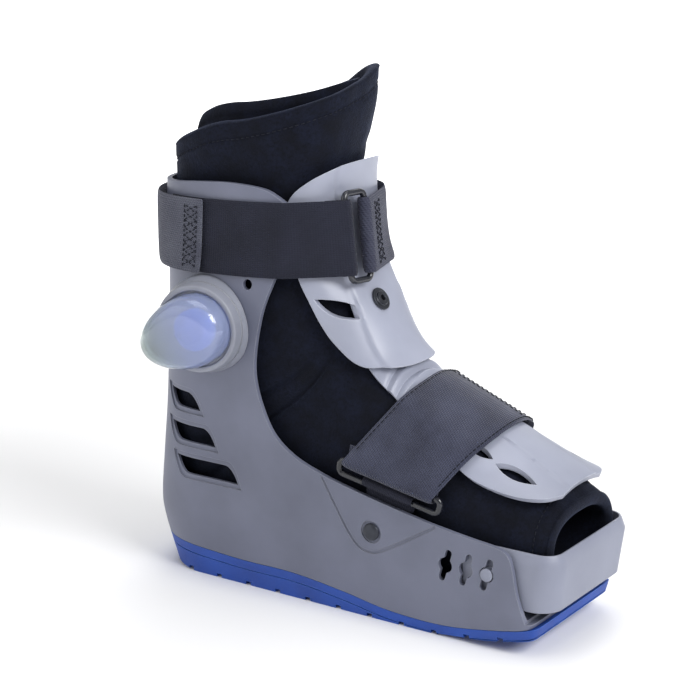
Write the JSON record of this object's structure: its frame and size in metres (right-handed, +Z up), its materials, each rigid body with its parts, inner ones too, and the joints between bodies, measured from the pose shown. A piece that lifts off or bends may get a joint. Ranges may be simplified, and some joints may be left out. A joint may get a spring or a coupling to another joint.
{
  "type": "medical walking boot",
  "caption": "Short rigid walking boot: moulded shell with a rocker sole, padded liner, two front plates, ring straps and a side air pump.",
  "frame": {"origin": "on the outsole's flat standing patch, at the middle of its length", "axes": "+X towards the toes, +Y towards the inner side of the foot, +Z up the leg"},
  "size_m": [0.3047, 0.1528, 0.3235],
  "materials": {
    "sole_rubber": "matt, blue",
    "shell_plastic": "fine moulded grain, bluish grey",
    "plate_plastic": "satin, light bluish grey",
    "liner_fabric": "brushed fabric over foam, very dark navy",
    "strap_webbing": "ribbed webbing, dark grey",
    "ring_plastic": "glossy, dark grey",
    "rivet_metal": "satin paint, dark grey",
    "bulb_silicone": "milky, see-through silicone",
    "button_plastic": "blue"
  },
  "bodies": {
    "root": {"outsole": "sole_rubber", "shell": "shell_plastic", "toe_guard": "shell_plastic", "liner": "liner_fabric", "liner_inner_flap": "liner_fabric", "shin_plate": "plate_plastic", "dorsal_plate": "plate_plastic", "shin_rivet": "rivet_metal", "side_rivet_lateral": "rivet_metal", "side_rivet_medial": "rivet_metal", "leg_ring": "ring_plastic", "leg_strap_lateral": "strap_webbing", "leg_strap_medial": "strap_webbing", "leg_webbing": "strap_webbing", "foot_strap": "strap_webbing", "foot_ring": "ring_plastic", "foot_anchor": "strap_webbing", "pump_housing": "plate_plastic", "pump_bulb": "bulb_silicone", "pump_button": "button_plastic"}
  },
  "joints": []
}
